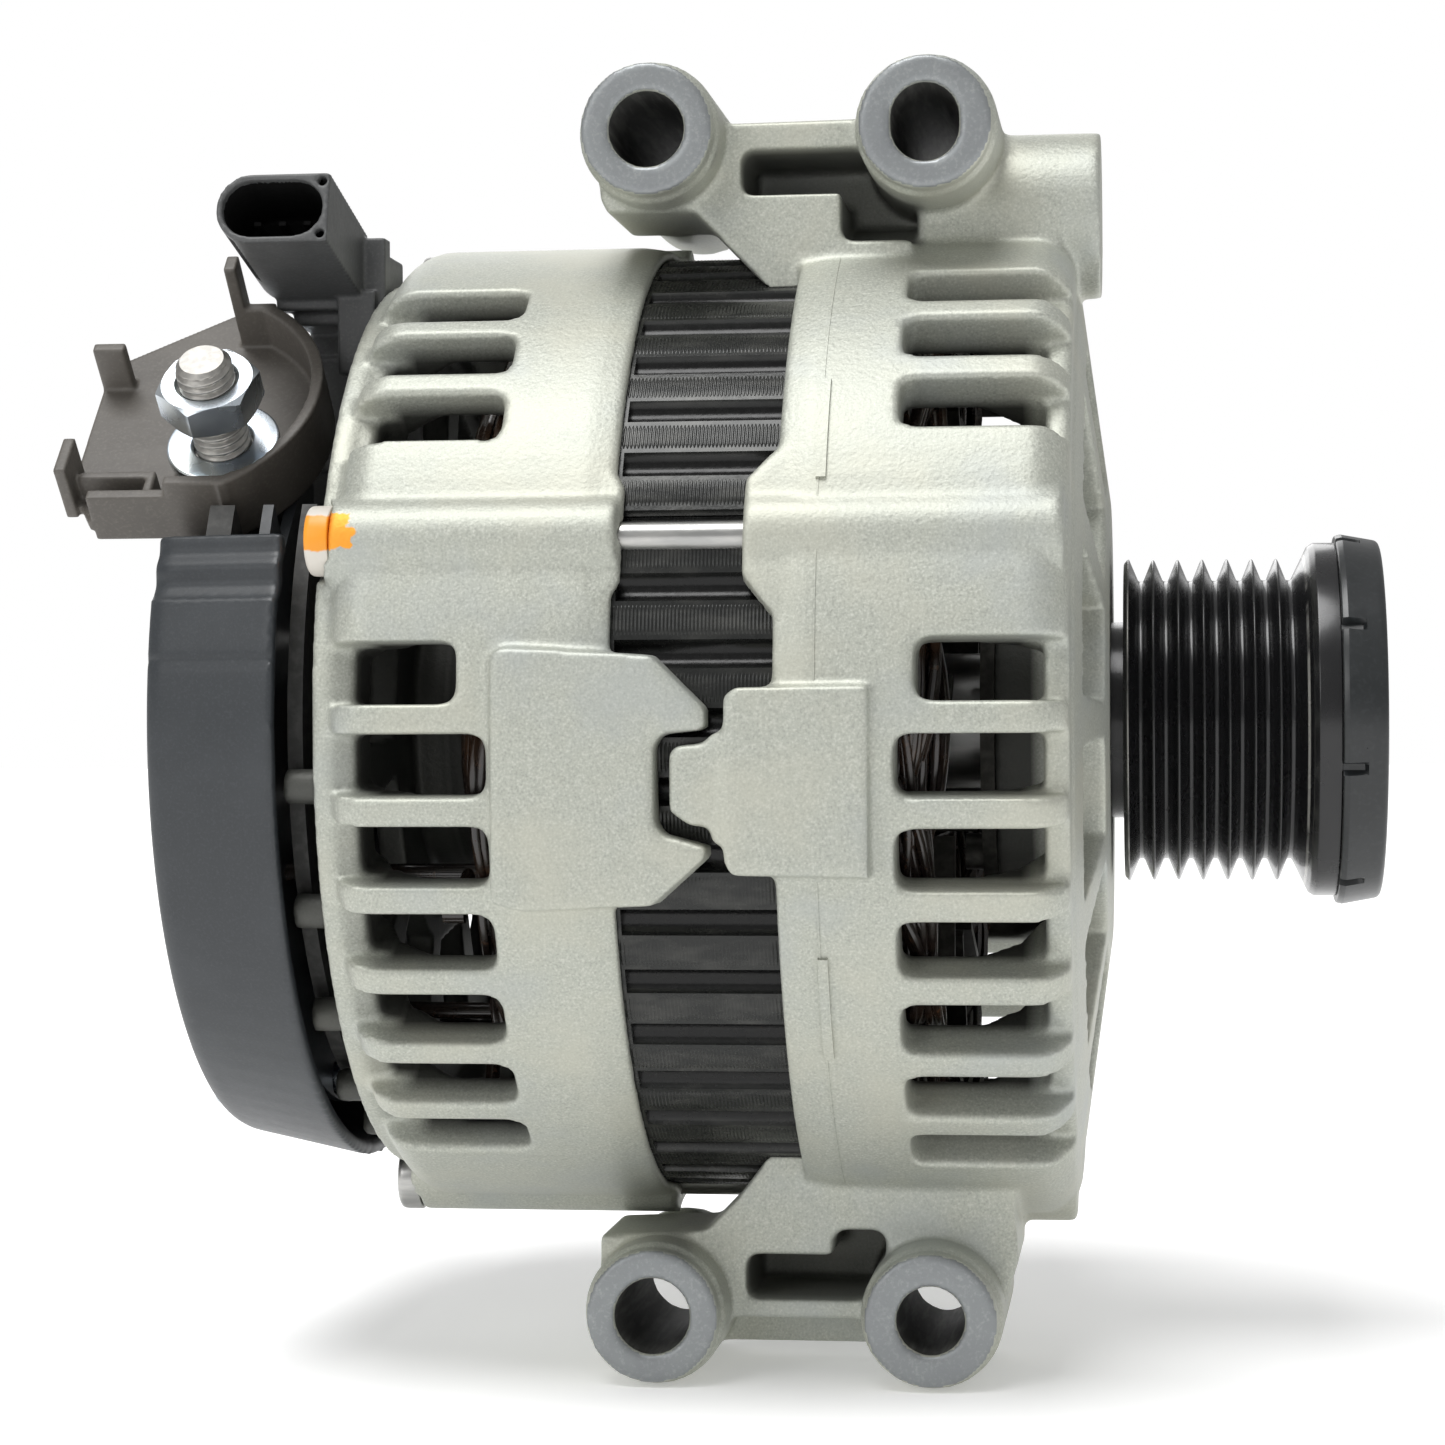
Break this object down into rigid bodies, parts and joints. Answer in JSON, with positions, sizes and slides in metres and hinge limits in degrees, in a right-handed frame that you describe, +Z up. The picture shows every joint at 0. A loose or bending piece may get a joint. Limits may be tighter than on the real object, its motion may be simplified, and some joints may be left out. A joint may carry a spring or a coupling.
{
  "type": "car alternator",
  "caption": "Claw-pole car alternator with finned two-part housing, cross-bored mounting lugs, multi-groove overrunning pulley, rear plastic cover, plug socket and charging stud.",
  "frame": {"origin": "on the shaft axis, in the middle plane of the belt grooves", "axes": "+X along the shaft towards the pulley, +Z up, -Y out of the mounting bores towards the bolts' heads"},
  "size_m": [0.1844, 0.1458, 0.1838],
  "materials": {
    "cast_aluminium": "bead-blasted casting, matt",
    "lacquered_steel": "black lacquer over laminations",
    "lacquered_copper": "enamelled wire in dark varnish",
    "bare_copper": "bare copper",
    "steel": "ground steel",
    "zinc_steel": "blue-white zinc plating",
    "black_cover_plastic": "satin moulded plastic",
    "connector_plastic": "moulded plastic",
    "shroud_plastic": "glass-filled moulded plastic",
    "insulating_plastic": "moulded plastic",
    "tinned_contact": "tinned contact",
    "carbon": "copper-graphite brush",
    "pulley_black": "gloss black",
    "cap_plastic": "semi-gloss"
  },
  "bodies": {
    "housing": {"drive_end_bracket": "cast_aluminium", "slip_ring_end_bracket": "cast_aluminium", "stator_core": "lacquered_steel", "stator_winding": "lacquered_copper", "phase_leads": "lacquered_copper", "through_bolts": "steel", "front_bearing_outer_race": "steel", "front_bearing_balls": "steel", "bearing_retainer_plate": "zinc_steel", "retainer_screws": "zinc_steel", "rear_bearing_outer_race": "steel", "rear_bearing_balls": "steel", "rear_bearing_sleeve": "insulating_plastic", "rear_cover": "black_cover_plastic", "cover_screws": "zinc_steel", "positive_heat_sink": "cast_aluminium", "negative_heat_sink": "cast_aluminium", "positive_diodes": "steel", "negative_diodes": "steel", "rectifier_board": "insulating_plastic", "regulator_housing": "connector_plastic", "regulator_heat_plate": "cast_aluminium", "connector_pins": "tinned_contact", "regulator_screws": "zinc_steel", "front_brush_spring": "steel", "rear_brush_spring": "steel", "terminal_shroud": "shroud_plastic", "terminal_stud": "zinc_steel", "terminal_washer": "zinc_steel"},
    "rotor": {"rotor_shaft": "steel", "front_claw_pole": "steel", "rear_claw_pole": "steel", "rotor_core": "steel", "field_coil": "bare_copper", "coil_bobbin": "insulating_plastic", "front_fan": "steel", "rear_fan": "steel", "front_slip_ring": "bare_copper", "rear_slip_ring": "bare_copper", "slip_ring_insulator": "insulating_plastic", "front_bearing_inner_race": "steel", "rear_bearing_inner_race": "steel", "pulley_hub": "pulley_black", "clutch_rollers": "steel", "pulley_bushes": "steel"},
    "pulley": {"pulley_ring": "pulley_black", "pulley_cap": "cap_plastic"},
    "front_brush": {"front_brush": "carbon"},
    "rear_brush": {"rear_brush": "carbon"},
    "terminal_nut": {"terminal_nut": "zinc_steel"}
  },
  "joints": [
    {"name": "rotor_spin", "type": "hinge", "parent": "housing", "child": "rotor", "pos_m": [0, 0, 0], "axis": [1, 0, 0], "continuous": true},
    {"name": "pulley_overrun", "type": "hinge", "parent": "rotor", "child": "pulley", "pos_m": [0, 0, 0], "axis": [1, 0, 0], "continuous": true},
    {"name": "front_brush_slide", "type": "slide", "parent": "housing", "child": "front_brush", "axis": [0, 0, 1], "range_m": [0, 0.004], "stiffness_N_per_m": 150, "springref_m": -0.015, "deforming": ["front_brush_spring"]},
    {"name": "rear_brush_slide", "type": "slide", "parent": "housing", "child": "rear_brush", "axis": [0, 0, 1], "range_m": [0, 0.004], "stiffness_N_per_m": 150, "springref_m": -0.015, "deforming": ["rear_brush_spring"]},
    {"name": "terminal_nut_travel", "type": "slide", "parent": "housing", "child": "terminal_nut", "axis": [0, -0.7157, 0.6984], "range_m": [-0.006, 0.0034]}
  ]
}
